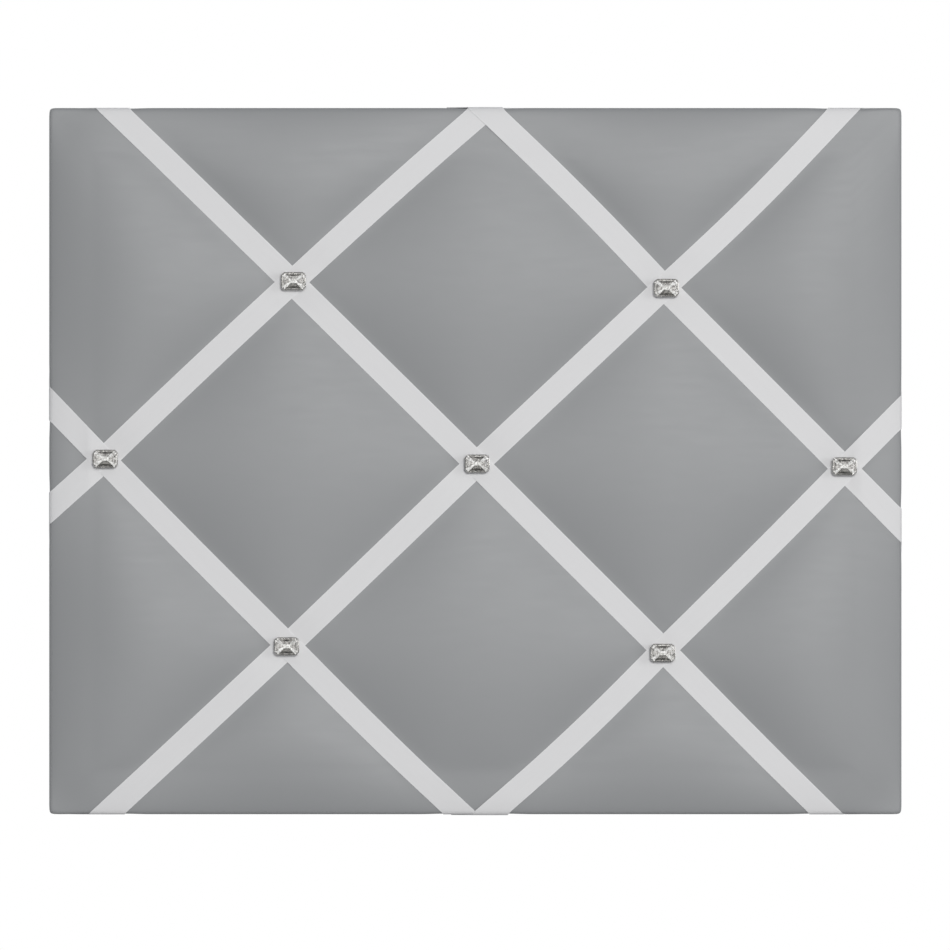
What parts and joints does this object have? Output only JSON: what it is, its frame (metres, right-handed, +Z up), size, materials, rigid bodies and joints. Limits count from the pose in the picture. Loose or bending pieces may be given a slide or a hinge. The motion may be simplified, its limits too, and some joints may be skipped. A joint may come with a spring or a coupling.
{
  "type": "french memo board",
  "caption": "Padded, cloth-covered memo board with a criss-cross of satin ribbons pinned by faceted stones, and strap hangers with swinging D-rings on the back.",
  "frame": {"origin": "middle of the back panel's rear face, the face that lies to the wall", "axes": "+X to the viewer's right along the long side, +Y back to the wall, +Z up; the padded front faces -Y"},
  "size_m": [0.3398, 0.0224, 0.2834],
  "materials": {
    "fibreboard": "raw fibreboard",
    "wadding": "loose wadding",
    "sateen": "smooth sateen",
    "satin": "satin ribbon with a soft sheen",
    "card": "matt card",
    "crystal": "clear, cut and polished",
    "silver": "bright plated",
    "steel": "plain zinc plated"
  },
  "bodies": {
    "board": {"core_board": "fibreboard", "batting": "wadding", "fabric_cover": "sateen", "back_panel": "card", "ribbon_long_falling": "satin", "ribbon_right_falling": "satin", "ribbon_left_falling": "satin", "ribbon_left_rising": "satin", "ribbon_long_rising": "satin", "ribbon_right_rising": "satin", "staple_long_falling_start": "steel", "staple_long_falling_end": "steel", "staple_right_falling_start": "steel", "staple_right_falling_end": "steel", "staple_left_falling_start": "steel", "staple_left_falling_end": "steel", "staple_left_rising_start": "steel", "staple_left_rising_end": "steel", "staple_long_rising_start": "steel", "staple_long_rising_end": "steel", "staple_right_rising_start": "steel", "staple_right_rising_end": "steel", "stone_top_left": "crystal", "stone_top_right": "crystal", "stone_left": "crystal", "stone_centre": "crystal", "stone_right": "crystal", "stone_bottom_left": "crystal", "stone_bottom_right": "crystal", "setting_top_left": "silver", "setting_top_right": "silver", "setting_left": "silver", "setting_centre": "silver", "setting_right": "silver", "setting_bottom_left": "silver", "setting_bottom_right": "silver", "top_hanger_strap": "steel", "top_hanger_screw": "steel", "side_hanger_strap": "steel", "side_hanger_screw": "steel"},
    "top_ring": {"top_hanger_ring": "steel"},
    "side_ring": {"side_hanger_ring": "steel"}
  },
  "joints": [
    {"name": "top_ring_swing", "type": "hinge", "parent": "board", "child": "top_ring", "pos_m": [0, 0.00215, 0.11225], "axis": [1, 0, 0], "range_deg": [0, 180]},
    {"name": "side_ring_swing", "type": "hinge", "parent": "board", "child": "side_ring", "pos_m": [0.14125, 0.00215, 0], "axis": [0, 0, -1], "range_deg": [0, 180]}
  ]
}
